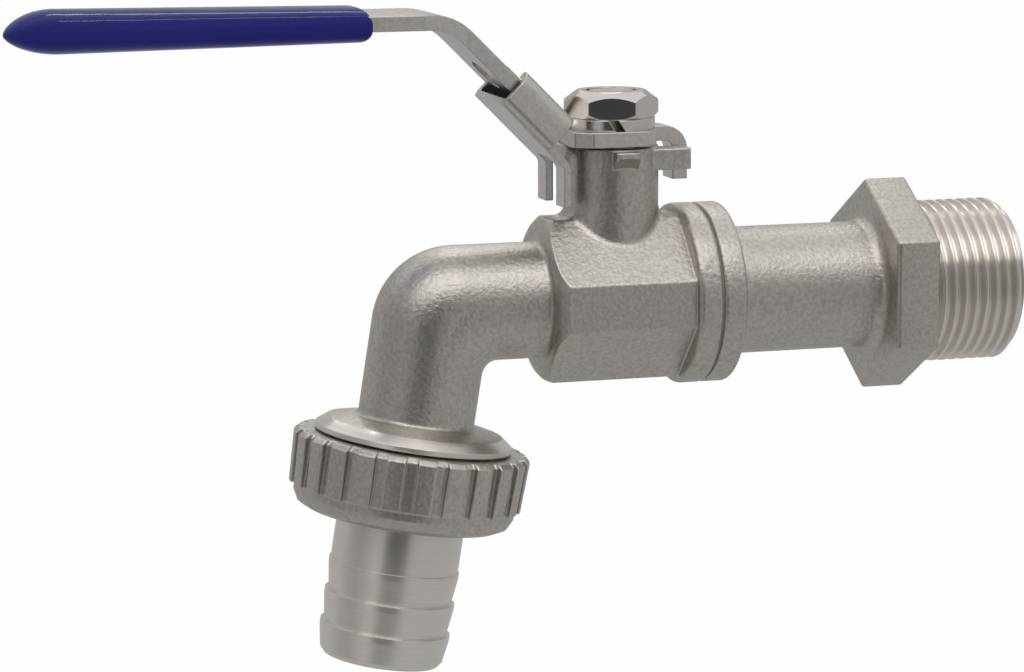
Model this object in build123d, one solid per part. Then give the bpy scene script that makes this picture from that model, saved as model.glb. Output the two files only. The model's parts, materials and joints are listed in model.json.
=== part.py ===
"""Stainless ball-valve garden tap with a lockable lever and a hose union.

Millimetres, +Z up. The origin is on the pipe axis where the inlet thread starts, and +X runs out
along that thread, towards the wall. The pieces are built around the valve centre, where the pipe
axis meets the stem axis, and moved to the origin when they are written.
"""
import os
from math import cos, radians, sin, sqrt, tan

from build123d import *

# Inlet connector
inlet_thread_d = 26.44  # G 3/4 outside diameter
inlet_thread_length = 16.0
thread_pitch = 1.814  # 14 turns an inch
thread_depth = 1.16
thread_crest = 0.5
thread_root = 0.3
inlet_chamfer = 1.2
hex_flats = 30.0
hex_length = 7.4
hex_round = 0.7
inlet_tube_d = 20.5
inlet_bore_d = 18.4
inlet_bore_length = 21.0
inlet_taper_length = 5.0
flange_thickness = 3.8
flange_edge = 0.5
tube_fillet = 1.8

# Valve body
valve_to_thread = 50.7  # stem axis to inlet thread
waterway_d = 13.0
ball_d = 19.4
ball_gap = 0.4
seat_shoulder = 0.5  # chamber wall to connector thread
collar_wall = 3.9
collar_start = 10.1
collar_width = 3.9
collar_round = 0.8
barrel_wall = 2.4
barrel_flat = 7.4  # width of the upright and level wrench flats
barrel_edge = 0.7
barrel_reach = 12.5
barrel_ledge = 1.625  # width of the flat end round the spout
barrel_nose = [(0.6, 1.45), (1.4, 2.3)]  # rounded spout end: distances behind and outside the ledge
barrel_nose_length = 2.6
plug_gap = 0.3
gasket_thickness = 0.3
gasket_recess = 0.5
neck_d = 15.1
neck_top = 24.2
neck_fillet = 1.8

# Spout and its outlet
spout_d = 18.55
spout_fillet = 0.8
spout_inner_round = 2.4
spout_reach = 29.5  # stem axis to where spout and outlet axes meet
outlet_tilt = 9.2  # outlet axis leans away from the wall
elbow_radius = 3.8
cone_d = 31.4
cone_start = 18.6
cone_height = 2.2
cone_bevel = 1.7  # bevelled edge, across
cone_bevel_height = 1.3
cone_rim = 0.8
cone_fillet = 0.9
outlet_thread_d = 26.44
outlet_thread_length = 7.05
outlet_chamfer = 1.0

# Seats and stem
seat_thickness = 4.2
seat_lip = 1.4
seat_relief = 0.2
seat_clearance = 0.03
ball_slot_width = 4.0
ball_slot_depth = 2.4
stem_d = 8.0
stem_top = 33.0
stem_flats = 6.0
stem_head_d = 10.6
stem_head_height = 1.8
tang_length = 7.4
running = 0.05
thrust_washer_thickness = 1.0
neck_web = 1.0
packing_d = 11.6
packing_height = 2.0
gland_bush_height = 1.8
gland_nut_height = 3.6
gland_slot = 1.6

# Stop and lock lugs on the neck
lug_height = 3.3
lug_top_drop = 0.3
lock_lug_width = 4.1
lock_lug_reach = 9.3
lock_lug_face = 0.8
stop_lug_reach = 11.8
stop_lug_thickness = 4.4
shut_lug_thickness = 2.0
stop_gap = 0.4
lug_round = 0.8

# Lever
sheet = 2.4
lever_gap = 0.5
plate_half_width = 8.0
plate_end = 5.6
plate_chamfer = 2.0
incline_half_width = 6.4
handle_half_width = 8.2
plate_taper = (3.0, 0.4)  # from and to, before the incline's foot
handle_taper = (-2.0, 5.0)  # from and to, beyond the incline's top
incline_angle = 45.0
incline_foot = -8.4  # top corner between plate and incline
handle_top = 46.2
handle_end = -92.5
handle_point = 5.0
lower_bend = 3.2
upper_bend = 9.0
tail_reach = 12.6
tail_bend = 2.6
tail_drop = 6.2
tail_near = -0.6
tail_far = 4.2
padlock_hole_d = 5.8
padlock_hole_at = 15.1  # up the incline from its foot

# Grip
grip_length = 51.5
grip_wall = 1.1
grip_root_thickness = 5.0
grip_thickness = 6.2
grip_spread = 1.75
grip_tip = 3.8
grip_nose = 9.0
grip_end_half_width = 1.0
grip_end_thickness = 0.9
grip_sag = 0.2
grip_root_round = 1.2
grip_roundness = 0.46  # corner radius as a share of the thickness

# Lock slide
slide_sheet = 1.2
slide_under_gap = 1.4
slide_over_gap = 0.5
slide_side_gap = 0.7
slide_top_round = 1.7
slide_fold_round = 0.4
slide_start = 1.4
slide_length = 10.6
slide_lip = 4.6
fork_half_width = 7.0
fork_slot_half = 2.7
fork_slot_rise = 1.2
fork_plane = 8.8  # stem axis to the prongs' inner face
fork_bottom = 15.4
fork_bend = 2.0

# Spring washer and stem nut
washer_d = 14.0
washer_thickness = 1.7
washer_gap = 1.3
washer_gap_angle = -100.0
washer_gap_slant = 35.0
nut_flats = 13.0
nut_height = 4.3
nut_crown = 1.5
nut_crown_width = 2.0
nut_foot_chamfer = 0.8
nut_turn = -16.7

# Coupling nut and hose tail
union_gap = 0.4
rib_count = 24
rib_circle_d = 37.8
rib_depth = 1.0
rib_width = 2.9
rib_length = 8.6
rib_draft = 0.35
rib_top_round = 0.7
coupling_height = 12.15
coupling_band_step = 0.25
coupling_round = 2.2
coupling_mouth = 1.6
coupling_ledge = 2.0
thread_clearance = 0.08
hose_washer_thickness = 1.3
tail_flange_d = 24.0
tail_flange_thickness = 2.0
tail_flange_gap = 0.1
tail_plain_d = 20.4
tail_bore_d = 16.4
tail_nut_clearance = 0.35
barb_d = 20.8
barb_root_d = 19.7
barb_count = 3
barb_pitch = 5.05
barb_land = 1.0
tail_plain_length = 7.75
tail_end_length = 5.2
tail_end_round = 0.8

# Values worked out from the driving dimensions
chamber_d = ball_d + 2 * ball_gap
body_thread_d = chamber_d + 2 * seat_shoulder
collar_d = body_thread_d + 2 * collar_wall
barrel_half = body_thread_d / 2 + barrel_wall
neck_r = neck_d / 2
stem_r = stem_d / 2
spout_r = spout_d / 2
waterway_r = waterway_d / 2
ball_r = ball_d / 2
body_end = collar_start + collar_width
flange_start = body_end + gasket_thickness
flange_end = flange_start + flange_thickness
hex_start = valve_to_thread - hex_length
seat_r = ball_r + seat_clearance
seat_bore_r = waterway_r + seat_relief
seat_edge = sqrt(seat_r**2 - seat_bore_r**2)
seat_back = seat_edge + seat_lip
seat_front = seat_back - seat_thickness
plate_bottom = neck_top + lever_gap
plate_top = plate_bottom + sheet
nut_seat = plate_top + washer_thickness
nut_top = nut_seat + nut_height
head_bottom = chamber_d / 2
head_top = head_bottom + stem_head_height
washer_seat = head_top + thrust_washer_thickness + running
packing_floor = washer_seat + neck_web
bush_floor = packing_floor + 2 * packing_height
gland_floor = bush_floor + gland_bush_height
lug_top = neck_top - lug_top_drop
lug_bottom = lug_top - lug_height
bend_half = radians(90 - outlet_tilt) / 2
elbow_trim = elbow_radius * tan(bend_half)
rim_end = cone_start + cone_height + cone_rim
outlet_end = rim_end + outlet_thread_length
rib_root_d = rib_circle_d - 2 * rib_depth
coupling_band_d = rib_root_d - 2 * coupling_band_step
coupling_top = rim_end + union_gap
coupling_bottom = coupling_top + coupling_height
ledge_top = coupling_bottom - coupling_ledge
tail_flange_bottom = ledge_top - tail_flange_gap
tail_top = tail_flange_bottom - tail_flange_thickness
barb_start = coupling_bottom + tail_plain_length
tail_end = barb_start + (barb_count - 1) * barb_pitch + tail_end_length
incline = radians(incline_angle)

outlet_axis = Plane(
    origin=(-spout_reach, 0, 0),
    x_dir=(cos(radians(outlet_tilt)), 0, -sin(radians(outlet_tilt))),
    z_dir=(-sin(radians(outlet_tilt)), 0, -cos(radians(outlet_tilt))),
)
# Local X runs up the incline, local Z is square to the lever's top face.
incline_plane = Plane(
    origin=(incline_foot, 0, plate_top),
    x_dir=(-cos(incline), 0, sin(incline)),
    z_dir=(sin(incline), 0, cos(incline)),
)


def turned(points, axis):
    """Solid of revolution about X or Z from (distance along the axis, radius) points."""
    if axis == Axis.X:
        outline = [(a, 0, r) for a, r in points]
    else:
        outline = [(r, 0, a) for a, r in points]
    return revolve(make_face(Polyline(*outline, close=True)), axis, 360)


def rod(axis, radius, start, end):
    """Round bar about X or Z between two places on the axis."""
    return turned([(start, 0), (start, radius), (end, radius), (end, 0)], axis)


def sleeve(axis, outer, inner, start, end):
    """Tube about X or Z between two places on the axis."""
    return turned([(start, inner), (start, outer), (end, outer), (end, inner)], axis)


def threaded(axis, crest, start, end, tip):
    """Threaded bar with a groove for each turn and a chamfered tip."""
    root = crest - thread_depth
    flank = (thread_pitch - thread_crest - thread_root) / 2
    points = [(start, 0), (start, crest)]
    turn = start + thread_crest
    while turn + flank + thread_root + flank < end - tip:
        points += [(turn, crest), (turn + flank, root), (turn + flank + thread_root, root)]
        turn += thread_pitch - thread_crest
        points += [(turn, crest)]
        turn += thread_crest
    points += [(end - tip, crest), (end, crest - tip), (end, 0)]
    return turned(points, axis)


def slab(x0, x1, y0, y1, z0, z1):
    """Block between two corners."""
    return Pos((x0 + x1) / 2, (y0 + y1) / 2, (z0 + z1) / 2) * Box(x1 - x0, y1 - y0, z1 - z0)


def strip(path, half_width, thickness, near=None, far=None):
    """Bent sheet: a flat section carried along a path in the XZ plane."""
    near = -half_width if near is None else near
    far = half_width if far is None else far
    start = path @ 0
    section = Plane(origin=start, x_dir=(0, 1, 0), z_dir=path % 0)
    sheet_face = section * Pos((near + far) / 2, 0) * Rectangle(far - near, thickness)
    return sweep(sheet_face, path)


def bend(radius, middle):
    """Bend between spout and outlet axes for a tube of this radius, with its middle line at this radius."""
    trim = middle * tan(bend_half)
    centre = (-spout_reach + trim, 0, -middle)
    section = Plane(origin=(centre[0], 0, 0), x_dir=(0, 1, 0), z_dir=(1, 0, 0))
    outer_side = Rectangle(4 * radius, middle + radius, align=(Align.CENTER, Align.MIN))
    face = section * (Circle(radius) & Pos(0, -middle) * outer_side)
    return revolve(face, Axis(centre, (0, -1, 0)), 90 - outlet_tilt)


def spout_way(radius, start, end):
    """Round passage from the barrel through the bend and down the outlet axis."""
    level = rod(Axis.X, radius, -spout_reach + elbow_trim, -start)
    down = outlet_axis.location * rod(Axis.Z, radius, elbow_trim, end)
    return level + down + bend(radius, elbow_radius)


def barrel_section():
    """Barrel outline across the pipe: narrow upright and level flats, wide slanted ones between them."""
    near = barrel_flat / 2
    corners = [(barrel_half, near), (near, barrel_half), (-near, barrel_half), (-barrel_half, near)]
    corners += [(-barrel_half, -near), (-near, -barrel_half), (near, -barrel_half), (barrel_half, -near)]
    outline = make_face(Polyline(*corners, close=True))
    return fillet(outline.vertices(), barrel_edge)


def make_lock_lug():
    """Lug that the lock slide's fork goes round, its underside sloped clear of the fork."""
    slope_foot = lug_top - lock_lug_face - (lock_lug_reach - neck_r + 1.0)
    side = Polyline(
        (-neck_r + 1.0, lug_top),
        (-lock_lug_reach, lug_top),
        (-lock_lug_reach, lug_top - lock_lug_face),
        (-neck_r + 1.0, slope_foot),
        close=True,
    )
    lug = extrude(Plane.YZ * make_face(side), lock_lug_width / 2, both=True)
    return fillet(lug.edges().filter_by(Axis.Z).group_by(Axis.Y)[0], lug_round)


def make_stop_lug(along, start, end):
    """Square lug beside the lever's tail, with a rounded outer corner."""
    block = slab(neck_r / 2, stop_lug_reach, start, end, lug_bottom, lug_top)
    outer = block.edges().filter_by(Axis.Z).group_by(Axis.X)[-1]
    return Rot(0, 0, along) * fillet(outer, lug_round)


def make_barrel():
    """Eight-sided barrel with a rounded spout end, its neck and the round collar at the seam."""
    corner_r = sqrt(barrel_half**2 + barrel_flat**2 / 4) + barrel_edge
    length = barrel_reach + collar_start + collar_width / 2
    prism = extrude(Plane.YZ.offset(-barrel_reach) * barrel_section(), length)
    ledge_r = spout_r + barrel_ledge
    nose = [(-barrel_reach, 0), (-barrel_reach, ledge_r)]
    nose += [(-barrel_reach + back, ledge_r + out) for back, out in barrel_nose]
    nose += [(-barrel_reach + barrel_nose_length, corner_r), (length, corner_r), (length, 0)]
    prism &= turned(nose, Axis.X)
    neck = rod(Axis.Z, neck_r, 0, neck_top)
    both = prism + neck
    both = fillet(new_edges(prism, neck, combined=both), neck_fillet)
    collar = rod(Axis.X, collar_d / 2, collar_start, body_end)
    collar = fillet(collar.edges().group_by(Axis.X)[0], collar_round)
    collar = fillet(collar.edges().group_by(Axis.X)[-1], flange_edge)
    return both + collar


def make_outlet():
    """Outlet along its own axis: end of the spout, coned and bevelled collar, and the union thread."""
    tube = rod(Axis.Z, spout_r, elbow_trim, cone_start + cone_height)
    rim_start = cone_start + cone_height
    bevel_start = rim_start - cone_bevel_height
    collar = turned(
        [(cone_start, 0), (cone_start, spout_r + cone_fillet), (bevel_start, cone_d / 2 - cone_bevel),
         (rim_start, cone_d / 2), (rim_end, cone_d / 2), (rim_end, 0)],
        Axis.Z,
    )
    outlet = tube + collar
    root = outlet.edges().filter_by(GeomType.CIRCLE).filter_by(lambda e: abs(e.radius - spout_r) < 1e-6)
    outlet = fillet(root.sort_by(Axis.Z)[-1], 0.8 * cone_fillet)
    return outlet + threaded(Axis.Z, outlet_thread_d / 2, rim_end, outlet_end, outlet_chamfer)


def make_valve_body():
    """Investment casting: spout, barrel, neck and lugs, with its machined inside."""
    barrel = make_barrel()
    level = rod(Axis.X, spout_r, -spout_reach + elbow_trim, 0)
    casting = barrel + level
    casting = fillet(new_edges(barrel, level, combined=casting), spout_fillet)
    outlet = outlet_axis.location * make_outlet()
    casting += [outlet, bend(spout_r, elbow_radius), bend(spout_r, spout_r + spout_inner_round)]
    open_stop = make_stop_lug(0, tail_near - stop_gap - stop_lug_thickness, tail_near - stop_gap)
    shut_stop = make_stop_lug(90, tail_far + stop_gap, tail_far + stop_gap + shut_lug_thickness)
    casting += [make_lock_lug(), open_stop, shut_stop]
    casting -= rod(Axis.X, chamber_d / 2, -seat_back, seat_back)
    casting -= rod(Axis.X, body_thread_d / 2, seat_back - plug_gap, body_end)
    casting -= spout_way(waterway_r, seat_back - seat_lip, outlet_end)
    casting -= rod(Axis.Z, stem_head_d / 2 + running, 0, washer_seat)
    casting -= rod(Axis.Z, stem_r + running, 0, neck_top)
    casting -= rod(Axis.Z, packing_d / 2, packing_floor, neck_top)
    return casting


def make_inlet_connector():
    """Screwed end piece: plug, flange, tube, spanner hexagon and inlet thread."""
    plug = rod(Axis.X, body_thread_d / 2 - running, seat_back, flange_start)
    flange = rod(Axis.X, collar_d / 2, flange_start, flange_end)
    flange = fillet(flange.edges().filter_by(GeomType.CIRCLE), flange_edge)
    tube = rod(Axis.X, inlet_tube_d / 2, flange_start, hex_start)
    hexagon = RegularPolygon(hex_flats / 2, 6, major_radius=False, rotation=90)
    nut = extrude(Plane.YZ.offset(hex_start) * hexagon, hex_length)
    nut = fillet(nut.edges(), hex_round)
    blank = flange + tube + nut
    circles = blank.edges().filter_by(GeomType.CIRCLE)
    blank = fillet(circles.filter_by(lambda e: abs(e.radius - inlet_tube_d / 2) < 1e-6), tube_fillet)
    end = valve_to_thread + inlet_thread_length
    thread = threaded(Axis.X, inlet_thread_d / 2, valve_to_thread, end, inlet_chamfer)
    bore = turned(
        [(seat_back, 0), (seat_back, waterway_r), (end - inlet_bore_length - inlet_taper_length, waterway_r),
         (end - inlet_bore_length, inlet_bore_d / 2), (end, inlet_bore_d / 2), (end, 0)],
        Axis.X,
    )
    return blank + plug + thread - bore


def make_body_gasket():
    """Flat ring squeezed between the body and the connector's flange."""
    return sleeve(Axis.X, collar_d / 2 - gasket_recess, body_thread_d / 2 + running, body_end, flange_start)


def make_ball():
    """Bored ball with the slot that the stem's tang turns it by."""
    bore_edge = sqrt(ball_r**2 - waterway_r**2)
    crown = ThreePointArc((-bore_edge, 0, waterway_r), (0, 0, ball_r), (bore_edge, 0, waterway_r))
    bored = revolve(make_face([crown, Line(crown @ 1, crown @ 0)]), Axis.X, 360)
    slot_floor = ball_r - ball_slot_depth
    slot = slab(-ball_slot_width / 2, ball_slot_width / 2, -ball_r, ball_r, slot_floor, ball_r + 1.0)
    return bored - slot


def make_seat(side):
    """Ring with a spherical face that seals on the ball, on the inlet (+1) or outlet (-1) side."""
    outer_r = chamber_d / 2 - running
    front_r = sqrt(seat_r**2 - seat_front**2)
    middle_r = (front_r + seat_bore_r) / 2
    middle = sqrt(seat_r**2 - middle_r**2)
    inner, front, back = side * seat_edge, side * seat_front, side * seat_back
    face = ThreePointArc((inner, 0, seat_bore_r), (side * middle, 0, middle_r), (front, 0, front_r))
    rest = Polyline(face @ 1, (front, 0, outer_r), (back, 0, outer_r), (back, 0, seat_bore_r), face @ 0)
    return revolve(make_face([face, rest]), Axis.X, 360)


def make_stem():
    """Blow-out proof stem: tang, head, packed shaft, and a flatted, threaded top for the lever."""
    tang_half = ball_slot_width / 2 - 2 * running
    floor = ball_r - ball_slot_depth + running
    tang = slab(-tang_half, tang_half, -tang_length / 2, tang_length / 2, floor, head_bottom + 0.5)
    tang &= rod(Axis.Z, stem_head_d / 2, floor, head_top)
    head = rod(Axis.Z, stem_head_d / 2, head_bottom, head_top)
    shaft = rod(Axis.Z, stem_r, head_top, stem_top)
    shaft = chamfer(shaft.edges().group_by(Axis.Z)[-1], 0.6)
    half = stem_flats / 2
    for side in (-1, 1):
        flat = slab(-stem_d, stem_d, -(stem_r - half) / 2, (stem_r - half) / 2, plate_bottom - 0.3, stem_top)
        shaft -= Pos(0, side * (half + (stem_r - half) / 2), 0) * flat
    return tang + head + shaft


def make_thrust_washer():
    """Ring between the stem's head and the roof of the chamber."""
    bottom = washer_seat - thrust_washer_thickness
    return sleeve(Axis.Z, stem_head_d / 2, stem_r + running, bottom, washer_seat)


def make_packing_ring(index):
    """One of the stem's packing rings."""
    bottom = packing_floor + index * packing_height
    return sleeve(Axis.Z, packing_d / 2 - running, stem_r + running, bottom, bottom + packing_height)


def make_gland_bush():
    """Follower that presses the packing evenly."""
    return sleeve(Axis.Z, packing_d / 2 - running, stem_r + running, bush_floor, gland_floor)


def make_gland_nut():
    """Slotted ring screwed into the neck to load the packing."""
    top = gland_floor + gland_nut_height
    ring = sleeve(Axis.Z, packing_d / 2 - running, stem_r + 2 * running, gland_floor, top)
    return ring - slab(-packing_d, packing_d, -gland_slot / 2, gland_slot / 2, top - gland_slot, top)


def lever_path(start_x):
    """Middle line of the lever's sheet from the stem plate to the handle's end."""
    mid = plate_top - sheet / 2
    rise = handle_top - plate_top
    foot_shift = sheet / 2 * tan(incline / 2)
    knee = incline_foot - foot_shift
    shoulder = knee - rise / tan(incline)
    points = [(start_x, 0, mid), (knee, 0, mid), (shoulder, 0, mid + rise), (handle_end, 0, mid + rise)]
    return FilletPolyline(*points, radius=[lower_bend, upper_bend])


def lever_plan():
    """Lever seen from above: stem plate, narrower incline, wider handle with a blunt point."""
    top = incline_foot - (handle_top - plate_top) / tan(incline)
    half = [
        (plate_end, plate_half_width - plate_chamfer),
        (plate_end - plate_chamfer, plate_half_width),
        (incline_foot + plate_taper[0], plate_half_width),
        (incline_foot + plate_taper[1], incline_half_width),
        (top - handle_taper[0], incline_half_width),
        (top - handle_taper[1], handle_half_width),
        (handle_end + handle_point, handle_half_width),
        (handle_end, handle_half_width - handle_point / 2),
    ]
    other = [(x, -y) for x, y in reversed(half)]
    return make_face(Polyline(*half, *other, close=True))


def make_lever():
    """Bent sheet lever with its stop tail, stem hole and padlock hole."""
    bar = strip(lever_path(plate_end), handle_half_width, sheet)
    bar &= Pos(0, 0, plate_bottom - 1.0) * extrude(lever_plan(), handle_top)
    mid = plate_top - sheet / 2
    tail_x = tail_reach - sheet / 2
    tail_foot = mid - tail_drop - sheet / 2
    tail_line = FilletPolyline((0, 0, mid), (tail_x, 0, mid), (tail_x, 0, tail_foot), radius=tail_bend)
    bar += strip(tail_line, 0, sheet, tail_near, tail_far)
    hole = Circle(stem_r + running) & Rectangle(stem_d * 2, stem_flats + 2 * running)
    bar -= Pos(0, 0, plate_bottom - 1.0) * extrude(hole, sheet + 2.0)
    padlock = Pos(padlock_hole_at, 0, -sheet / 2) * Cylinder(padlock_hole_d / 2, sheet * 3)
    return bar - incline_plane.location * padlock


def make_lever_grip():
    """Dipped vinyl sleeve over the handle: rounded sections, thicker towards a bullet-shaped tip."""
    mid = handle_top - sheet / 2
    root = handle_end + grip_length
    knee = handle_end - grip_tip + grip_nose
    root_half = handle_half_width + grip_wall
    knee_half = handle_half_width + grip_spread
    stations = [(root, root_half - grip_root_round, grip_root_thickness - grip_root_round)]
    stations += [(root - grip_root_round, root_half, grip_root_thickness), (knee, knee_half, grip_thickness)]
    for turn in (25, 45, 60, 72, 82, 90):
        share = cos(radians(turn))
        half = grip_end_half_width + (knee_half - grip_end_half_width) * share
        thick = grip_end_thickness + (grip_thickness - grip_end_thickness) * share
        stations += [(knee - grip_nose * sin(radians(turn)), half, thick)]
    sections = []
    for x, half, thick in stations:
        across = Plane(origin=(x, 0, mid - grip_sag), x_dir=(0, 1, 0), z_dir=(1, 0, 0))
        sections += [across * RectangleRounded(2 * half, thick, grip_roundness * thick)]
    grip = loft(sections, ruled=True)
    core = extrude(Pos(0, 0, mid - sheet / 2) * lever_plan(), sheet)
    return grip - core


def make_lock_slide():
    """Folded sheet sleeve that runs on the incline, ending in a two-pronged fork."""
    inner_height = slide_over_gap + sheet + slide_under_gap
    height = inner_height + 2 * slide_sheet
    inner_half = incline_half_width + slide_side_gap
    middle = slide_over_gap - inner_height / 2
    outline = Rectangle(2 * (inner_half + slide_sheet), height)
    outline = fillet(outline.vertices().group_by(Axis.Y)[-1], slide_top_round + slide_sheet)
    outline = fillet(outline.vertices().group_by(Axis.Y)[0], slide_fold_round + slide_sheet)
    hollow = Rectangle(2 * inner_half, inner_height)
    hollow = fillet(hollow.vertices().group_by(Axis.Y)[-1], slide_top_round)
    hollow = fillet(hollow.vertices().group_by(Axis.Y)[0], slide_fold_round)
    mouth = Pos(0, height / 2) * Rectangle(2 * slide_lip, 3 * slide_sheet)
    across = Plane(origin=(0, 0, 0), x_dir=(0, 1, 0), z_dir=(1, 0, 0))
    section = across * Pos(0, middle) * (outline - hollow - mouth)
    sleeve_part = Pos(slide_start, 0, 0) * extrude(section, slide_length)
    body = incline_plane.location * sleeve_part
    base_depth = slide_over_gap - inner_height - slide_sheet / 2
    top = incline_plane.from_local_coords(Vector(slide_start + slide_length / 2, 0, base_depth))
    prong_x = -fork_plane - slide_sheet / 2
    bend_z = top.Z - (prong_x - top.X) * tan(incline)
    path = FilletPolyline(top, (prong_x, 0, bend_z), (prong_x, 0, fork_bottom), radius=fork_bend)
    fork = strip(path, fork_half_width, slide_sheet)
    fork -= slab(-2 * fork_plane, 0, -fork_slot_half, fork_slot_half, 0, bend_z + fork_slot_rise)
    return body + fork


def make_spring_washer():
    """Split spring washer under the stem nut."""
    ring = sleeve(Axis.Z, washer_d / 2, stem_r + 0.2, plate_top, nut_seat)
    cut = Pos(washer_d / 2, 0, 0) * Rot(washer_gap_slant, 0, 0) * Box(washer_d, washer_gap, washer_d)
    return ring - Pos(0, 0, (plate_top + nut_seat) / 2) * Rot(0, 0, washer_gap_angle) * cut


def make_stem_nut():
    """Hexagon nut, turned to a wide crown on its top and a smaller chamfer below."""
    hexagon = RegularPolygon(nut_flats / 2, 6, major_radius=False, rotation=nut_turn)
    nut = Pos(0, 0, nut_seat) * extrude(hexagon, nut_height)
    corner = nut_flats / sqrt(3)
    nut &= turned(
        [(nut_seat, 0), (nut_seat, corner - nut_foot_chamfer), (nut_seat + nut_foot_chamfer, corner),
         (nut_top - nut_crown, corner), (nut_top, corner - nut_crown_width), (nut_top, 0)],
        Axis.Z,
    )
    return nut - rod(Axis.Z, stem_r + running, nut_seat, nut_top)


def make_coupling_nut():
    """Hand-tightened union nut: raised flat ribs above a plain band, and a ledge that holds the tail."""
    rib_end = coupling_top + rib_length
    root_r = rib_root_d / 2
    band_r = coupling_band_d / 2
    crest_r = rib_circle_d / 2
    thread_r = outlet_thread_d / 2 + thread_clearance
    hole_r = tail_plain_d / 2 + tail_nut_clearance
    outer = turned(
        [(coupling_top, thread_r + coupling_mouth), (coupling_top, root_r - rib_top_round),
         (coupling_top + rib_top_round, root_r), (rib_end, root_r), (rib_end, band_r),
         (coupling_bottom - coupling_round, band_r),
         (coupling_bottom - coupling_round / 3, band_r - coupling_round / 3),
         (coupling_bottom, band_r - coupling_round), (coupling_bottom, hole_r), (ledge_top, hole_r),
         (ledge_top, thread_r), (coupling_top + coupling_mouth, thread_r)],
        Axis.Z,
    )
    rib = Pos(root_r, 0, coupling_top + rib_length / 2) * Box(2 * rib_depth, rib_width, rib_length)
    ribs = [Rot(0, 0, 360 * (i + 0.5) / rib_count) * rib for i in range(rib_count)]
    trim = turned(
        [(coupling_top, 0), (coupling_top, crest_r - rib_top_round), (coupling_top + rib_top_round, crest_r),
         (rib_end, crest_r - rib_draft), (coupling_bottom, crest_r - rib_draft), (coupling_bottom, 0)],
        Axis.Z,
    )
    return outlet_axis.location * ((outer + ribs) & trim)


def make_hose_tail():
    """Turned hose tail: sealing flange inside the nut, plain neck and barbs."""
    plain_r = tail_plain_d / 2
    bore_r = tail_bore_d / 2
    profile = [
        (tail_top, bore_r),
        (tail_top, tail_flange_d / 2),
        (tail_flange_bottom, tail_flange_d / 2),
        (tail_flange_bottom, plain_r),
    ]
    profile += [(barb_start, plain_r)]
    for i in range(barb_count):
        crest = barb_start + i * barb_pitch
        last = i == barb_count - 1
        foot = tail_end - tail_end_round if last else crest + barb_pitch
        profile += [(crest, barb_d / 2), (crest + barb_land, barb_d / 2), (foot, barb_root_d / 2)]
    profile += [(tail_end, barb_root_d / 2 - tail_end_round * 0.8), (tail_end, bore_r)]
    return outlet_axis.location * turned(profile, Axis.Z)


def make_hose_washer():
    """Flat rubber washer between the outlet's end and the tail."""
    return outlet_axis.location * sleeve(
        Axis.Z, tail_flange_d / 2 - 0.2, waterway_r + 0.5, tail_top - hose_washer_thickness, tail_top
    )


nodes = {
    "valve_body": make_valve_body(),
    "inlet_connector": make_inlet_connector(),
    "body_gasket": make_body_gasket(),
    "ball": make_ball(),
    "inlet_seat": make_seat(1),
    "outlet_seat": make_seat(-1),
    "stem": make_stem(),
    "thrust_washer": make_thrust_washer(),
    "packing_ring_lower": make_packing_ring(0),
    "packing_ring_upper": make_packing_ring(1),
    "gland_bush": make_gland_bush(),
    "gland_nut": make_gland_nut(),
    "lever": make_lever(),
    "lever_grip": make_lever_grip(),
    "lock_slide": make_lock_slide(),
    "spring_washer": make_spring_washer(),
    "stem_nut": make_stem_nut(),
    "coupling_nut": make_coupling_nut(),
    "hose_tail": make_hose_tail(),
    "hose_washer": make_hose_washer(),
}

os.makedirs("parts", exist_ok=True)
for name, solid in nodes.items():
    export_step(Pos(-valve_to_thread, 0, 0) * solid, f"parts/{name}.step")
    box = solid.bounding_box()
    print(name, len(solid.solids()), "solid", round(solid.volume, 1), "mm3", [round(v, 2) for v in box.size])
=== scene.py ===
# %% [markdown]
# # A stainless garden tap
# The tap is a small ball valve: an investment cast body with a bent spout, a screwed inlet
# connector, a bent sheet lever with a dipped grip and a lock slide, and a union nut that holds a
# hose tail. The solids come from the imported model. This script dresses them: it cuts real screw
# threads, gives every metal its own finish and sets up the light and the camera.

import json
import math

import bmesh
import bpy
import numpy as np
from mathutils import Matrix, Vector


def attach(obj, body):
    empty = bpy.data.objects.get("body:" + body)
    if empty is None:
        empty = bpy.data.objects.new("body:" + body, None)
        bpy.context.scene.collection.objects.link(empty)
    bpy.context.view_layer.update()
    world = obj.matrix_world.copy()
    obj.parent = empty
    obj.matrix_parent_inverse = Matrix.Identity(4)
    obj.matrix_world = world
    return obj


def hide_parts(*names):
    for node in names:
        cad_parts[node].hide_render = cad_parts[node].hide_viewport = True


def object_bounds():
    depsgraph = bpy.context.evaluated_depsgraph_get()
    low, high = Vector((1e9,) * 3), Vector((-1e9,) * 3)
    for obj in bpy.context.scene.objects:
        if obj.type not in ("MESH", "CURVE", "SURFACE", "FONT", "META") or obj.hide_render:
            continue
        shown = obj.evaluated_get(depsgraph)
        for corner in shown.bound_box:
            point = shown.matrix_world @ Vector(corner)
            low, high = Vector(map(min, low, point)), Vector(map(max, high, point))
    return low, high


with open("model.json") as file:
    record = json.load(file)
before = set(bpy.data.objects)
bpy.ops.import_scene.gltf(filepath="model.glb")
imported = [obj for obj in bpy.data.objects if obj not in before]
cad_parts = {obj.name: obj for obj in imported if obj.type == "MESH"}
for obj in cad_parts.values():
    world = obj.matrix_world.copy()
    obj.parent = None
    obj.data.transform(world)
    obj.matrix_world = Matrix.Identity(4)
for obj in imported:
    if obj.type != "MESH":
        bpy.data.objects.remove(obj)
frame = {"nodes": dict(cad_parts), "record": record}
cad_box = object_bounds()
scene = bpy.context.scene
scene.view_settings.view_transform = "Standard"
mm = 0.001
print("nodes", sorted(frame["nodes"]))
print("cad box", [[round(v, 4) for v in corner] for corner in cad_box])

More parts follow.
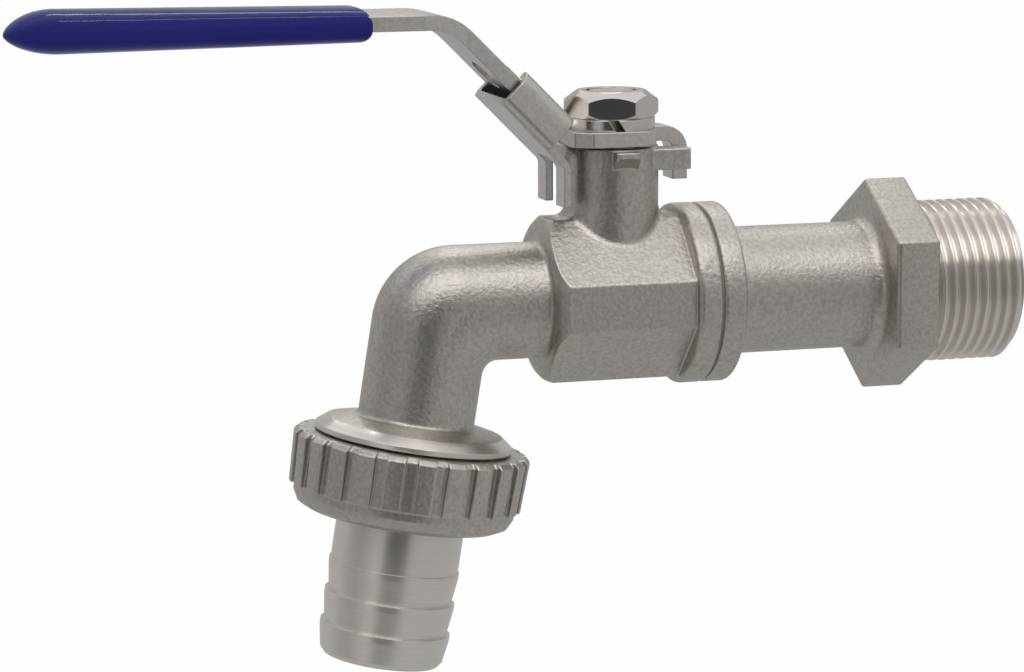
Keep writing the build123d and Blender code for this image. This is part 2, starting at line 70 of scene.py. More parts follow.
# %% [markdown]
# ## Colours and nodes
# Colours are written as the eye sees them, in sRGB, and turned to the linear values that the
# renderer works with. One function adds a shader node, sets it and links it, so a material reads
# as a list of what feeds what. Every pattern starts from the piece's own coordinates, in metres,
# so a pattern's scale is one over the real size of its grains.


# %% Helpers for all the materials
def linear(hex_colour):
    """sRGB hex to linear RGBA: c/12.92 in the darks, ((c + 0.055)/1.055)^2.4 above them."""
    parts = np.array([int(hex_colour[i : i + 2], 16) for i in (1, 3, 5)]) / 255
    low = parts / 12.92
    high = ((parts + 0.055) / 1.055) ** 2.4
    return (*np.where(parts <= 0.04045, low, high), 1.0)


def add(tree, kind, sockets=None, **settings):
    """Adds one node. sockets maps an input's name or number to a value or to another node's output."""
    made = tree.nodes.new(kind)
    for name, value in settings.items():
        setattr(made, name, value)
    for name, value in (sockets or {}).items():
        if isinstance(value, bpy.types.NodeSocket):
            tree.links.new(value, made.inputs[name])
        else:
            made.inputs[name].default_value = value
    return made


def new_material(name):
    """A material, its node tree, and the piece's own coordinates, which are all that the tree holds."""
    made = bpy.data.materials.new(name)
    made.use_nodes = True
    tree = made.node_tree
    tree.nodes.clear()
    return made, tree, add(tree, "ShaderNodeTexCoord").outputs["Object"]


print("half grey in linear light", round(linear("#808080")[0], 3))

# %% [markdown]
# ## Bead-blasted cast stainless steel
# The body, the connector and the union nut are cast in ceramic shells and blasted with glass
# beads. The eye gets a warm grey with a pebbly skin: lumps of most of a millimetre from the shell,
# and fine dents from the beads, which spread each reflection. The collar at the seam has coarser
# pebbles than the rest. Edges are rubbed smoother, and their lighter colour is partly wear and
# partly a painted highlight. A bevel node, which rounds the shading of sharp edges, also tells
# where an edge is: there its normal leaves the face's own.

# %% Cast finish: lumps, dents and the collar's pebbles
cast_steel, tree, place = new_material("blasted_cast_stainless")
lumps = add(
    tree,
    "ShaderNodeTexNoise",
    {"Vector": place, "Scale": 1 / (0.65 * mm), "Detail": 2.0, "Roughness": 0.55},
)
dents = add(
    tree,
    "ShaderNodeTexNoise",
    {"Vector": place, "Scale": 1 / (0.3 * mm), "Detail": 2.0, "Roughness": 0.5},
)
pebbles = add(
    tree, "ShaderNodeTexVoronoi", {"Vector": place, "Scale": 1 / (1.1 * mm)}, feature="SMOOTH_F1"
)
barrel_ends, collar_starts = -42.0 * mm, -40.0 * mm
collar_ends, seam_starts = -37.2 * mm, -36.4 * mm
pipe_x = add(tree, "ShaderNodeSeparateXYZ", {0: place}).outputs["X"]
after_barrel = add(
    tree,
    "ShaderNodeMapRange",
    {"Value": pipe_x, "From Min": barrel_ends, "From Max": collar_starts},
)
before_seam = add(
    tree,
    "ShaderNodeMapRange",
    {"Value": pipe_x, "From Min": seam_starts, "From Max": collar_ends},
)
on_collar = add(
    tree,
    "ShaderNodeMath",
    {0: after_barrel.outputs[0], 1: before_seam.outputs[0]},
    operation="MULTIPLY",
)
dented = add(
    tree,
    "ShaderNodeMath",
    {0: dents.outputs["Fac"], 1: 0.3, 2: lumps.outputs["Fac"]},
    operation="MULTIPLY_ADD",
)
relief = add(
    tree,
    "ShaderNodeMath",
    {0: pebbles.outputs["Distance"], 1: on_collar.outputs[0], 2: dented.outputs[0]},
    operation="MULTIPLY_ADD",
)
print("relief of", cast_steel.name)

# %% Cast finish: tone, worn and highlit edges, and shader
shade = add(tree, "ShaderNodeValToRGB", {"Fac": lumps.outputs["Fac"]})
shade.color_ramp.elements[0].position = 0.3
shade.color_ramp.elements[0].color = linear("#b3aea8")
shade.color_ramp.elements[1].position = 0.65
shade.color_ramp.elements[1].color = linear("#c9c4be")
bevel_rays = 6
rounded = add(tree, "ShaderNodeBevel", {"Radius": 0.45 * mm}, samples=bevel_rays)
true_face = add(tree, "ShaderNodeNewGeometry").outputs["Normal"]
facing = add(
    tree, "ShaderNodeVectorMath", {0: rounded.outputs[0], 1: true_face}, operation="DOT_PRODUCT"
)
# Edges get a lighter colour: partly rubbed wear, partly a painted highlight along every edge.
worn_and_highlit_edges = add(
    tree,
    "ShaderNodeMapRange",
    {"Value": facing.outputs["Value"], "From Min": 0.995, "From Max": 0.86},
)
tone = add(
    tree,
    "ShaderNodeMix",
    {"Factor": worn_and_highlit_edges.outputs[0], 6: shade.outputs["Color"], 7: linear("#dedad5")},
    data_type="RGBA",
)
mottle = add(
    tree,
    "ShaderNodeTexNoise",
    {"Vector": place, "Scale": 1 / (7 * mm), "Detail": 4.0, "Roughness": 0.6},
)
rough = add(
    tree, "ShaderNodeMapRange", {"Value": mottle.outputs["Fac"], "To Min": 0.34, "To Max": 0.46}
)
rubbed = add(
    tree,
    "ShaderNodeMath",
    {0: worn_and_highlit_edges.outputs[0], 1: -0.1, 2: rough.outputs[0]},
    operation="MULTIPLY_ADD",
)
bump = add(
    tree,
    "ShaderNodeBump",
    {
        "Height": relief.outputs[0],
        "Strength": 0.8,
        "Distance": 0.11 * mm,
        "Normal": rounded.outputs[0],
    },
)
skin = add(
    tree,
    "ShaderNodeBsdfPrincipled",
    {
        "Base Color": tone.outputs[2],
        "Metallic": 1.0,
        "Roughness": rubbed.outputs[0],
        "Normal": bump.outputs[0],
    },
)
add(tree, "ShaderNodeOutputMaterial", {"Surface": skin.outputs[0]})
print("finish", cast_steel.name)

# %% [markdown]
# ## Turned stainless steel
# The hose tail, the screw threads, the stem and the gland pieces come from a lathe. The tool leaves
# fine rings, so reflections stay sharp round the piece and blur along it, which an anisotropic
# shader gives. Its tangent is the way the tool went: the lathe's axis crossed with the way out from
# it, which holds on flat ends too. The rings that still show are noise in one dimension, read from
# the distance along the axis. Real rings are finer than the picture's pixels, so they are drawn a
# quarter of a millimetre wide, and faintly. The stem and the gland pieces hardly show, so they
# share the hose tail's finish, with its axis.


# %% Turned finish
def turned_finish(name, foot, axis, dull):
    """Lathe rings round the axis through foot; dull is the roughness of the smoothest ring."""
    made, tree, place = new_material(name)
    along = add(tree, "ShaderNodeVectorMath", {0: place, 1: axis}, operation="DOT_PRODUCT")
    rings = add(
        tree,
        "ShaderNodeTexNoise",
        {"W": along.outputs["Value"], "Scale": 1 / (0.25 * mm), "Detail": 2.0},
        noise_dimensions="1D",
    )
    smears = add(
        tree,
        "ShaderNodeTexNoise",
        {"Vector": place, "Scale": 1 / (4 * mm), "Detail": 3.0, "Roughness": 0.6},
    )
    shade = add(tree, "ShaderNodeValToRGB", {"Fac": rings.outputs["Fac"]})
    shade.color_ramp.elements[0].position = 0.3
    shade.color_ramp.elements[0].color = linear("#e1dcd6")
    shade.color_ramp.elements[1].position = 0.7
    shade.color_ramp.elements[1].color = linear("#e7e2dd")
    rough = add(
        tree,
        "ShaderNodeMapRange",
        {"Value": smears.outputs["Fac"], "To Min": dull, "To Max": dull + 0.1},
    )
    rounded = add(tree, "ShaderNodeBevel", {"Radius": 0.2 * mm}, samples=bevel_rays)
    bump = add(
        tree,
        "ShaderNodeBump",
        {
            "Height": rings.outputs["Fac"],
            "Strength": 0.025,
            "Distance": 0.02 * mm,
            "Normal": rounded.outputs[0],
        },
    )
    outward = add(tree, "ShaderNodeVectorMath", {0: place, 1: foot}, operation="SUBTRACT")
    round_way = add(
        tree, "ShaderNodeVectorMath", {0: axis, 1: outward.outputs[0]}, operation="CROSS_PRODUCT"
    )
    skin = add(
        tree,
        "ShaderNodeBsdfPrincipled",
        {
            "Base Color": shade.outputs["Color"],
            "Metallic": 1.0,
            "Roughness": rough.outputs[0],
            "Normal": bump.outputs[0],
            "Tangent": round_way.outputs[0],
            "Anisotropic": 0.9,
            "Anisotropic Rotation": 0.25,
        },
    )
    add(tree, "ShaderNodeOutputMaterial", {"Surface": skin.outputs[0]})
    print("finish", made.name)
    return made


# %% Turned finishes of the two pipe ends
inlet_foot, inlet_way = (0, 0, 0), (1, 0, 0)
spout_tilt = math.radians(9.2)
outlet_foot = np.array([-80.2, 0.0, 0.0]) * mm
outlet_way = np.array([-math.sin(spout_tilt), 0.0, -math.cos(spout_tilt)])
turned_steel = turned_finish("turned_stainless", tuple(outlet_foot), tuple(outlet_way), dull=0.26)
thread_steel = turned_finish("thread_cut_stainless", inlet_foot, inlet_way, dull=0.24)

# %% [markdown]
# ## Tumbled sheet steel
# The lever and the lock slide are stamped from sheet and tumbled with stones to take the burrs
# off. That leaves an even satin with short fine scratches in every direction.

# %% Sheet finish
sheet_steel, tree, place = new_material("tumbled_sheet_stainless")
grain = add(
    tree,
    "ShaderNodeTexNoise",
    {"Vector": place, "Scale": 1 / (0.6 * mm), "Detail": 4.0, "Roughness": 0.7},
)
cloud = add(tree, "ShaderNodeTexNoise", {"Vector": place, "Scale": 1 / (5 * mm), "Detail": 3.0})
shade = add(tree, "ShaderNodeValToRGB", {"Fac": grain.outputs["Fac"]})
shade.color_ramp.elements[0].position = 0.3
shade.color_ramp.elements[0].color = linear("#c3beb9")
shade.color_ramp.elements[1].position = 0.7
shade.color_ramp.elements[1].color = linear("#dbd7d3")
rough = add(
    tree, "ShaderNodeMapRange", {"Value": cloud.outputs["Fac"], "To Min": 0.22, "To Max": 0.38}
)
rounded = add(tree, "ShaderNodeBevel", {"Radius": 0.35 * mm}, samples=bevel_rays)
bump = add(
    tree,
    "ShaderNodeBump",
    {
        "Height": grain.outputs["Fac"],
        "Strength": 0.25,
        "Distance": 0.05 * mm,
        "Normal": rounded.outputs[0],
    },
)
skin = add(
    tree,
    "ShaderNodeBsdfPrincipled",
    {
        "Base Color": shade.outputs["Color"],
        "Metallic": 1.0,
        "Roughness": rough.outputs[0],
        "Normal": bump.outputs[0],
    },
)
add(tree, "ShaderNodeOutputMaterial", {"Surface": skin.outputs[0]})
print("finish", sheet_steel.name)

# %% [markdown]
# ## Bright drawn stainless steel
# The stem nut, its spring washer and the ball are smooth enough to mirror the studio, with a haze
# that comes and goes over a few millimetres.

# %% Bright finish
bright_steel, tree, place = new_material("bright_drawn_stainless")
haze = add(
    tree,
    "ShaderNodeTexNoise",
    {"Vector": place, "Scale": 1 / (3 * mm), "Detail": 4.0, "Roughness": 0.6},
)
shade = add(tree, "ShaderNodeValToRGB", {"Fac": haze.outputs["Fac"]})
shade.color_ramp.elements[0].color = linear("#cdc8c4")
shade.color_ramp.elements[1].color = linear("#e0dcd9")
rough = add(
    tree, "ShaderNodeMapRange", {"Value": haze.outputs["Fac"], "To Min": 0.1, "To Max": 0.22}
)
rounded = add(tree, "ShaderNodeBevel", {"Radius": 0.25 * mm}, samples=bevel_rays)
skin = add(
    tree,
    "ShaderNodeBsdfPrincipled",
    {
        "Base Color": shade.outputs["Color"],
        "Metallic": 1.0,
        "Roughness": rough.outputs[0],
        "Normal": rounded.outputs[0],
    },
)
add(tree, "ShaderNodeOutputMaterial", {"Surface": skin.outputs[0]})
print("finish", bright_steel.name)

# %% [markdown]
# ## Dipped vinyl
# The grip is soft PVC: the hot lever is dipped in liquid vinyl, which sets in a thick glossy skin.
# The skin is deep blue and slightly wavy. Its upper side stays blue in the photograph where a full
# gloss would mirror the white room, so the gloss is set low, and two strip lamps draw its lines.

# %% Vinyl finish
blue_vinyl, tree, place = new_material("dipped_blue_vinyl")
wave = add(tree, "ShaderNodeTexNoise", {"Vector": place, "Scale": 1 / (7 * mm), "Detail": 2.0})
shade = add(tree, "ShaderNodeValToRGB", {"Fac": wave.outputs["Fac"]})
shade.color_ramp.elements[0].color = linear("#2d2c74")
shade.color_ramp.elements[1].color = linear("#323186")
rough = add(
    tree, "ShaderNodeMapRange", {"Value": wave.outputs["Fac"], "To Min": 0.06, "To Max": 0.1}
)
bump = add(
    tree,
    "ShaderNodeBump",
    {"Height": wave.outputs["Fac"], "Strength": 0.3, "Distance": 0.3 * mm},
)
skin = add(
    tree,
    "ShaderNodeBsdfPrincipled",
    {
        "Base Color": shade.outputs["Color"],
        "IOR": 1.53,
        "Specular IOR Level": 0.02,
        "Roughness": rough.outputs[0],
        "Normal": bump.outputs[0],
    },
)
add(tree, "ShaderNodeOutputMaterial", {"Surface": skin.outputs[0]})
print("finish", blue_vinyl.name)

# %% [markdown]
# ## Seals
# The seats, thrust washer and packing are PTFE, a waxy white plastic cut from a block. The gasket
# at the body's seam is PTFE filled with carbon, grey, at the bottom of a thin groove. The hose
# washer is black nitrile rubber. All three are plain and mottled, so one function makes them.


# %% Seal finishes
def seal_finish(name, speck, detail, dark, light, dull, ior):
    """Mottled seal: noise with specks of one size runs between a dark and a light tone."""
    made, tree, place = new_material(name)
    specks = add(
        tree, "ShaderNodeTexNoise", {"Vector": place, "Scale": 1 / speck, "Detail": detail}
    )
    shade = add(tree, "ShaderNodeValToRGB", {"Fac": specks.outputs["Fac"]})
    shade.color_ramp.elements[0].color = linear(dark)
    shade.color_ramp.elements[1].color = linear(light)
    skin = add(
        tree,
        "ShaderNodeBsdfPrincipled",
        {"Base Color": shade.outputs["Color"], "Roughness": dull, "IOR": ior},
    )
    add(tree, "ShaderNodeOutputMaterial", {"Surface": skin.outputs[0]})
    print("finish", made.name)
    return made


white_ptfe = seal_finish("skived_ptfe", 1.5 * mm, 3.0, "#e4e3de", "#f2f1ed", dull=0.45, ior=1.35)
black_rubber = seal_finish("nitrile_rubber", 0.8 * mm, 4.0, "#1c1c1c", "#2b2a29", dull=0.7, ior=1.52)
filled_ptfe = seal_finish("carbon_filled_ptfe", 0.3 * mm, 3.0, "#8c8882", "#9b9791", dull=0.5, ior=1.38)

# %% [markdown]
# ## Give every node its finish
# The record says what each piece is made of, so the finish follows the record's slot. Only the
# gasket at the seam has a finish of its own, because it is the one filled seal.

# %% Assign the finishes
finishes = {
    "cast_stainless": cast_steel,
    "turned_stainless": turned_steel,
    "sheet_stainless": sheet_steel,
    "bright_stainless": bright_steel,
    "blue_vinyl": blue_vinyl,
    "ptfe": white_ptfe,
    "rubber": black_rubber,
}
slot_of = {part["node"]: part["material_slot"] for part in frame["record"]["subparts"]}
for name, node in frame["nodes"].items():
    node.data.materials.clear()
    node.data.materials.append(finishes[slot_of[name]])
frame["nodes"]["body_gasket"].data.materials[0] = filled_ptfe
print("dressed", len(frame["nodes"]), "nodes")

# %% [markdown]
# ## Screw threads
# The inlet is a pipe thread: a groove wound round the end of the connector at 1.814 mm a turn. In
# the solid each turn is a ring of its own. Here the rings' faces are taken out of a copy of the
# mesh, and a surface of two parameters, distance along the axis and angle, takes their place. Its
# radius is the crest less a groove whose depth depends on distance minus the lead at that angle, so
# the groove climbs one pitch in a turn. The surface stops a hair short of the solid's two rims, and
# narrow bands of triangles join it to them, so the copy is closed.

# %% Helical groove in place of a plain cylinder
pipe_pitch = 1.814 * mm
pipe_depth = 1.16 * mm
flat_share = 0.17
hair = 0.02 * mm
slack = 5 * hair


def groove(turns_along):
    """Depth share of a 55 degree thread, 0 at the crest and 1 at the root.

    It is a triangle wave with flat_share cut off at either tip, eased by 3c^2 - 2c^3.
    """
    wave = np.abs(2 * (turns_along % 1.0) - 1)
    clipped = np.clip((wave - flat_share) / (1 - 2 * flat_share), 0, 1)
    return clipped * clipped * (3 - 2 * clipped)


def grid_faces(rows, columns):
    """Quads of a grid that closes round: a point, the next in its row, and the two below them."""
    row, column = np.meshgrid(np.arange(rows - 1), np.arange(columns), indexing="ij")
    after = (column + 1) % columns
    this, below = row * columns, (row + 1) * columns
    quads = np.stack([this + column, this + after, below + after, below + column], axis=-1)
    return quads.reshape(-1, 4)


def thread_grid(length, crest, tip_drop, across=120, along=150):
    """Points (distance, y, z) of a threaded bar, and its quads.

    The radius is the crest less the groove, which is eased in over 0.8 of a pitch at the shoulder.
    The end chamfer caps it at crest - tip_drop plus the distance that is left to the end.
    """
    run = np.linspace(hair, length - hair, along)
    angles = np.linspace(0, 2 * np.pi, across, endpoint=False)
    s, a = np.meshgrid(run, angles, indexing="ij")
    ease = np.clip(s / (0.8 * pipe_pitch), 0, 1)
    radius = crest - pipe_depth * ease * groove((s / pipe_pitch) - a / (2 * np.pi))
    radius = np.minimum(radius, crest - tip_drop + (length - s))
    radius[0] = crest
    radius[-1] = crest - tip_drop + hair
    points = np.stack([s, radius * np.cos(a), radius * np.sin(a)], axis=-1)
    return points.reshape(-1, 3), grid_faces(along, across)


print("thread pitch", pipe_pitch, "depth", pipe_depth)

# %% [markdown]
# ### From a CAD node to a threaded copy
# A node's mesh is loose triangles, so the copy's points are merged first. What is left open then
# is the two rims where the rings were and the two ends of the new surface, and each pair is bridged.

# %% Read a node, make a piece and close its rims
same_place = 2e-6


def node_mesh(node):
    """Points and triangles of a CAD node, as arrays."""
    spots = np.empty(len(node.data.vertices) * 3)
    node.data.vertices.foreach_get("co", spots)
    node.data.calc_loop_triangles()
    faces = np.empty(len(node.data.loop_triangles) * 3, dtype=np.int32)
    node.data.loop_triangles.foreach_get("vertices", faces)
    return spots.reshape(-1, 3), faces.reshape(-1, 3)


def new_piece(name, points, faces):
    """Object at the origin with a mesh of these points and faces."""
    mesh = bpy.data.meshes.new(name)
    mesh.from_pydata(points.tolist(), [], faces)
    made = bpy.data.objects.new(name, mesh)
    scene.collection.objects.link(made)
    return made


def close_rims(mesh, count, origin, axis, length):
    """Merges the first count points, which are the solid's, and bridges the rims at both ends."""
    work = bmesh.new()
    work.from_mesh(mesh)
    work.verts.ensure_lookup_table()
    bmesh.ops.remove_doubles(work, verts=work.verts[:count], dist=same_place)
    open_edges = [edge for edge in work.edges if edge.is_boundary]
    middles = np.array([(edge.verts[0].co + edge.verts[1].co) / 2 for edge in open_edges])
    places = (middles - origin) @ axis
    for rim in (0, length):
        at_rim = np.flatnonzero(np.abs(places - rim) < slack)
        bmesh.ops.bridge_loops(work, edges=[open_edges[i] for i in at_rim])
    bmesh.ops.recalc_face_normals(work, faces=work.faces)
    left = sum(edge.is_boundary for edge in work.edges)
    print(mesh.name, "open edges before", len(open_edges), "after", left)
    work.to_mesh(mesh)
    work.free()


# %% Cut a thread
thread_crease = math.radians(32)


def cut_thread(name, origin, axis, length, crest, tip_drop, machined_from, machined):
    """Copy of a node with the bar from origin along axis turned into a screw thread.

    Triangles go that lie between the ring grooves' roots and crests and are not flat across the
    axis. Faces past machined_from along the axis get the machined finish, the rest the casting's.
    """
    origin = np.array(origin)
    axis = np.array(axis) / np.linalg.norm(axis)
    side = np.cross(axis, (0.0, 1.0, 0.0))
    side /= np.linalg.norm(side)
    turn = np.stack([axis, np.cross(side, axis), side], axis=1)
    spots, faces = node_mesh(frame["nodes"][name])
    local = (spots - origin) @ turn
    radius = np.hypot(local[:, 1], local[:, 2])
    lowest = crest - max(tip_drop, pipe_depth) - slack
    on_bar = (radius > lowest) & (radius < crest + hair)
    on_bar &= (local[:, 0] > -hair) & (local[:, 0] < length + hair)
    spread = np.ptp(local[faces][:, :, 0], axis=1)
    taken = on_bar[faces].all(axis=1) & (spread > hair)
    used, kept = np.unique(faces[~taken], return_inverse=True)
    points, quads = thread_grid(length, crest, tip_drop)
    placed = points @ turn.T + origin
    made = new_piece(
        name + "_threaded",
        np.concatenate([spots[used], placed]),
        kept.reshape(-1, 3).tolist() + (quads + used.size).tolist(),
    )
    mesh = made.data
    close_rims(mesh, used.size, origin, axis, length)
    mesh.shade_smooth()
    mesh.set_sharp_from_angle(angle=thread_crease)
    mesh.materials.append(cast_steel)
    mesh.materials.append(machined)
    middles = np.empty(len(mesh.polygons) * 3)
    mesh.polygons.foreach_get("center", middles)
    along = (middles.reshape(-1, 3) - origin) @ axis
    mesh.polygons.foreach_set("material_index", (along > machined_from).astype(np.int32))
    print(name, "faces replaced", int(taken.sum()), "by", len(quads))
    return made


# %% Inlet thread and outlet thread
pipe_crest = 13.22 * mm
inlet_length, inlet_tip_drop = 16.0 * mm, 1.2 * mm
outlet_start = outlet_foot + outlet_way * 21.6 * mm
outlet_length, outlet_tip_drop = 7.05 * mm, 1.0 * mm
cone_rim = -2.12 * mm
threaded_inlet = cut_thread(
    "inlet_connector",
    inlet_foot,
    inlet_way,
    inlet_length,
    pipe_crest,
    inlet_tip_drop,
    hair,
    thread_steel,
)
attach(threaded_inlet, "tap_body")
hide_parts("inlet_connector")
threaded_body = cut_thread(
    "valve_body",
    outlet_start,
    outlet_way,
    outlet_length,
    pipe_crest,
    outlet_tip_drop,
    cone_rim,
    turned_steel,
)
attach(threaded_body, "tap_body")
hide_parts("valve_body")

# %% [markdown]
# ## Grip
# Liquid vinyl runs before it sets, so the dipped grip has no flat sides: every section across it is
# a fat oval, thicker towards a bullet-shaped tip and rolled in at the end where the lever comes
# out. The surface has two parameters, place along the lever and angle round it. A superellipse
# gives the oval: each half axis times cosine or sine of the angle to the power 2/n, n from 2.7 at
# the root, where the skin is thin over the flat bar, to 2.2 towards the tip.

# %% Sections of the dipped grip
grip_root, grip_knee, grip_tip = -91.7 * mm, -139.0 * mm, -147.0 * mm
grip_level = 44.55 * mm
root_half_width, root_half_height, swell = 9.3 * mm, 2.7 * mm, 0.65 * mm
root_lip, lip_tuck = 1.2 * mm, 0.8
root_power, power_fall = 2.7, 0.5
nose_power, nose_droop = 1.3, 0.45 * mm
roll_steps, run_steps, nose_steps, round_steps = 8, 40, 36, 72


def grip_sections(root, knee, tip):
    """Place, half width, half height, power and droop of each section.

    A quarter circle rolls out at the root and a straight run swells to the knee. A nose closes at
    the tip: its size is the cosine of a quarter turn to nose_power, and it droops with sine squared.
    """
    roll = np.linspace(0, np.pi / 2, roll_steps, endpoint=False)
    run = np.linspace(0, 1, run_steps, endpoint=False)
    nose = np.linspace(0, np.pi / 2, nose_steps)
    start = root - root_lip
    place = np.concatenate(
        [
            start + root_lip * np.cos(roll),
            start + (knee - start) * run,
            knee + (tip - knee) * np.sin(nose),
        ]
    )
    shrink = np.concatenate([np.ones(roll_steps + run_steps), np.cos(nose) ** nose_power])
    tuck = np.concatenate(
        [lip_tuck * root_lip * (1 - np.sin(roll)), np.zeros(run_steps + nose_steps)]
    )
    share = np.clip((place - root) / (knee - root), 0, 1)
    half = (root_half_width + swell * share) * shrink - tuck
    high = (root_half_height + swell * share) * shrink - tuck
    droop = np.concatenate([np.zeros(roll_steps + run_steps), nose_droop * np.sin(nose) ** 2])
    return place, half, high, root_power - power_fall * share, droop


sections = grip_sections(grip_root, grip_knee, grip_tip)
print("grip sections", len(sections[0]))

# %% Dipped grip
grip_crease = math.radians(60)
place, half, high, power, droop = (values[:, None] for values in sections)
angle = np.linspace(0, 2 * np.pi, round_steps, endpoint=False)[None, :]
across = half * np.sign(np.cos(angle)) * np.abs(np.cos(angle)) ** (2 / power)
oval = high * np.sign(np.sin(angle)) * np.abs(np.sin(angle)) ** (2 / power)
above = oval + grip_level - droop
points = np.stack([np.broadcast_to(place, across.shape), across, above], axis=-1)
root_cap = list(range(round_steps))
dipped_grip = new_piece(
    "lever_grip_dipped", points.reshape(-1, 3), grid_faces(*across.shape).tolist() + [root_cap]
)
mesh = dipped_grip.data
work = bmesh.new()
work.from_mesh(mesh)
bmesh.ops.remove_doubles(work, verts=work.verts, dist=same_place)
bmesh.ops.recalc_face_normals(work, faces=work.faces)
work.to_mesh(mesh)
work.free()
mesh.shade_smooth()
mesh.set_sharp_from_angle(angle=grip_crease)
mesh.materials.append(blue_vinyl)
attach(dipped_grip, "lever")
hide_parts("lever_grip")
print("grip", len(mesh.polygons), "faces")

# %% [markdown]
# ## Camera
# The photograph was taken from the left front, a little above the pipe, with a long lens. The
# place comes from fitting a pinhole camera to the tap's known sizes: the angles, the focal length
# in pixels and where the valve's centre falls in the picture.

# %% Camera at the photograph's viewing angle
picture_wide, picture_high = 1024, 672
turn_left, look_down, lean = (math.radians(v) for v in (16.706, 9.403, -0.194))
focal_px, distance = 3549.3, 568.16 * mm
valve = Vector((-50.7 * mm, 0, 0))
valve_px = (610.754, 295.754)
level_part = math.cos(look_down)
back = Vector(
    (-math.sin(turn_left) * level_part, -math.cos(turn_left) * level_part, math.sin(look_down))
)
right = Vector((math.cos(turn_left), -math.sin(turn_left), 0))
up = back.cross(right)
right, up = (
    right * math.cos(lean) + up * math.sin(lean),
    up * math.cos(lean) - right * math.sin(lean),
)
shift_right = (valve_px[0] - picture_wide / 2) / focal_px * distance
shift_down = (valve_px[1] - picture_high / 2) / focal_px * distance
stand = valve + back * distance - right * shift_right + up * shift_down
lens = bpy.data.cameras.new("camera")
lens.sensor_width = 36
lens.lens = focal_px / picture_wide * lens.sensor_width
lens.clip_start = 0.01
camera = bpy.data.objects.new("camera", lens)
camera_turn = Matrix((right, up, back)).transposed()
camera.matrix_world = Matrix.Translation(stand) @ camera_turn.to_4x4()
scene.collection.objects.link(camera)
scene.camera = camera
print("camera at", [round(v, 3) for v in stand], "lens", round(lens.lens, 1))

# %% [markdown]
# ## Studio
# The tap was photographed under a wide overhead softbox on a white sweep, with a dim room round the
# camera. Steel shows its surroundings, so the room is made as simple surfaces: a floor that is
# white to the camera, a plain wall round the set and the softbox. The wall, and the floor far from
# the tap, are dark in a sector towards the camera and half dark to its left, which draws the upright
# streaks on the turned tail. One function gives both their brightness. Two narrow strip lamps
# behind the tap draw the lines along the top of the grip, and a white sky fills the shadows.

# %% Room brightness by direction
room_levels = {
    -180: 0.46,
    -22: 0.46,
    -11: 0.06,
    19: 0.06,
    29: 0.45,
    37: 0.45,
    52: 0.38,
    68: 0.31,
    87: 0.37,
    108: 0.49,
    180: 0.46,
}
camera_way = (-math.sin(turn_left), -math.cos(turn_left), 0)
left_way = (-math.cos(turn_left), math.sin(turn_left), 0)


def room_level(tree, place):
    """Brightness by bearing round the set's middle, in degrees, 0 at the camera and left positive."""
    ahead = add(tree, "ShaderNodeVectorMath", {0: place, 1: camera_way}, operation="DOT_PRODUCT")
    aside = add(tree, "ShaderNodeVectorMath", {0: place, 1: left_way}, operation="DOT_PRODUCT")
    bearing = add(
        tree,
        "ShaderNodeMath",
        {0: aside.outputs["Value"], 1: ahead.outputs["Value"]},
        operation="ARCTAN2",
    )
    share = add(
        tree,
        "ShaderNodeMapRange",
        {"Value": bearing.outputs[0], "From Min": -math.pi, "From Max": math.pi},
    )
    level = add(tree, "ShaderNodeValToRGB", {"Fac": share.outputs[0]})
    stops = level.color_ramp.elements
    stops.remove(stops[1])
    for number, (degrees, grey) in enumerate(room_levels.items()):
        stop = stops[0] if number == 0 else stops.new(degrees / 360 + 0.5)
        stop.position = degrees / 360 + 0.5
        stop.color = (grey, grey, grey, 1)
    return level.outputs["Color"]


print("room levels", len(room_levels))

# %% Floor
floor_drop, floor_r, floor_sides = 0.16, 4, 64
floor_z = cad_box[0][2] - floor_drop
ring = np.linspace(0, 2 * np.pi, floor_sides, endpoint=False)
rim = np.stack(
    [floor_r * np.cos(ring), floor_r * np.sin(ring), np.full(floor_sides, floor_z)], axis=-1
)
floor = new_piece("floor", rim, [tuple(range(floor_sides))])
print("floor at", round(floor_z, 3))

# %% Floor finish: paper by lamp light, white to the camera, the room's levels in reflections
# The paper keeps a small share of what the camera sees, and with it the tap's shadow.
white_share = 0.97
near_reach, near_level, far_reach = 0.25, 0.48, 0.6
white_floor, tree, place = new_material("white_sweep")
rays = add(tree, "ShaderNodeLightPath").outputs
direct = add(
    tree,
    "ShaderNodeMath",
    {0: rays["Is Camera Ray"], 1: rays["Is Transmission Ray"]},
    operation="MAXIMUM",
)
seen = add(
    tree, "ShaderNodeMath", {0: direct.outputs[0], 1: rays["Is Glossy Ray"]}, operation="MAXIMUM"
)
share = add(tree, "ShaderNodeMath", {0: seen.outputs[0], 1: white_share}, operation="MULTIPLY")
flat = add(tree, "ShaderNodeVectorMath", {0: place, 1: (1, 1, 0)}, operation="MULTIPLY")
reach = add(tree, "ShaderNodeVectorMath", {0: flat.outputs[0]}, operation="LENGTH")
mirrored = add(
    tree,
    "ShaderNodeMapRange",
    {
        "Value": reach.outputs["Value"],
        "From Min": near_reach,
        "From Max": far_reach,
        "To Min": near_level,
        "To Max": room_level(tree, place),
    },
)
level = add(
    tree,
    "ShaderNodeMapRange",
    {"Value": rays["Is Glossy Ray"], "To Min": 1.0, "To Max": mirrored.outputs[0]},
)
paper = add(tree, "ShaderNodeBsdfDiffuse", {"Color": linear("#f4f4f4")})
glow = add(tree, "ShaderNodeEmission", {"Color": (1, 1, 1, 1), "Strength": level.outputs[0]})
both = add(
    tree, "ShaderNodeMixShader", {0: share.outputs[0], 1: paper.outputs[0], 2: glow.outputs[0]}
)
add(tree, "ShaderNodeOutputMaterial", {"Surface": both.outputs[0]})
floor.data.materials.append(white_floor)
print("finish", white_floor.name)

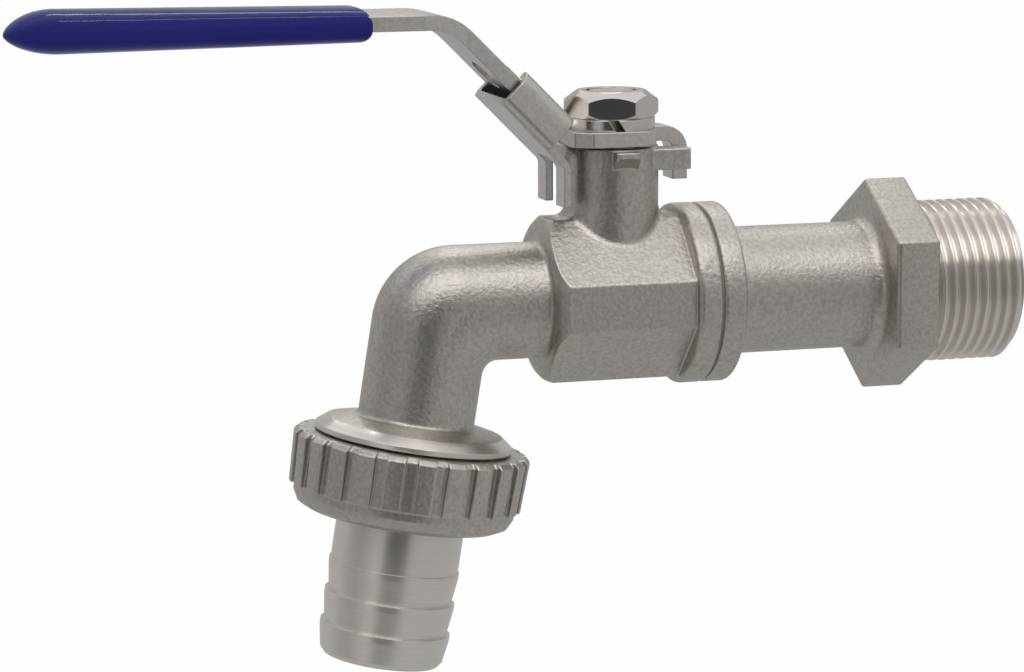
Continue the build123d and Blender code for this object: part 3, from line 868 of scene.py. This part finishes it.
# %% Wall round the set, seen only in reflections
wall_r, wall_top, wall_sides = 1.6, 0.95, 96
ring = np.linspace(0, 2 * np.pi, wall_sides, endpoint=False)
h, a = np.meshgrid((wall_top, floor_z), ring, indexing="ij")
points = np.stack([wall_r * np.cos(a), wall_r * np.sin(a), h], axis=-1)
wall = new_piece("wall", points.reshape(-1, 3), grid_faces(*h.shape).tolist())
wall.visible_camera = False
wall.visible_shadow = False
dim_wall, tree, place = new_material("dim_room")
glow = add(
    tree, "ShaderNodeEmission", {"Color": (1, 1, 1, 1), "Strength": room_level(tree, place)}
)
add(tree, "ShaderNodeOutputMaterial", {"Surface": glow.outputs[0]})
wall.data.materials.append(dim_wall)
print("wall radius", wall_r)


# %% Softbox and strip lamps
def hang_lamp(name, spot, aim, size, watts):
    """Rectangular lamp at spot, turned to face aim."""
    light = bpy.data.lights.new(name, "AREA")
    light.shape = "RECTANGLE"
    light.size, light.size_y = size
    light.energy = watts
    lamp = bpy.data.objects.new(name, light)
    lamp.location = spot
    lamp.rotation_euler = (aim - lamp.location).to_track_quat("-Z", "Y").to_euler()
    scene.collection.objects.link(lamp)
    print("lamp", name, watts, "W")


grip_middle = Vector((-0.117, -0.006, 0.047))
strip_size = (0.46, 0.07)
hang_lamp("softbox", (-0.25, -0.75, 1.15), valve, size=(1.5, 0.9), watts=4.6)
hang_lamp("strip_0", (0.168, 1.223, 0.653), grip_middle, strip_size, watts=0.45)
hang_lamp("strip_1", (0.17, 0.79, 1.16), grip_middle, strip_size, watts=1.1)

# %% Sky: white to the camera, less so in reflections, and dimmer still as a light
mirrored_sky, sky_light = 0.7, 0.55
world = bpy.data.worlds.new("white_sky")
scene.world = world
world.use_nodes = True
tree = world.node_tree
tree.nodes.clear()
rays = add(tree, "ShaderNodeLightPath").outputs
direct = add(
    tree,
    "ShaderNodeMath",
    {0: rays["Is Camera Ray"], 1: rays["Is Transmission Ray"]},
    operation="MAXIMUM",
)
mirrored = add(
    tree, "ShaderNodeMath", {0: rays["Is Glossy Ray"], 1: mirrored_sky}, operation="MULTIPLY"
)
seen = add(
    tree, "ShaderNodeMath", {0: direct.outputs[0], 1: mirrored.outputs[0]}, operation="MAXIMUM"
)
level = add(
    tree, "ShaderNodeMapRange", {"Value": seen.outputs[0], "To Min": sky_light, "To Max": 1.0}
)
sky = add(tree, "ShaderNodeBackground", {"Color": (1, 1, 1, 1), "Strength": level.outputs[0]})
add(tree, "ShaderNodeOutputWorld", {"Surface": sky.outputs[0]})
print("sky", world.name)
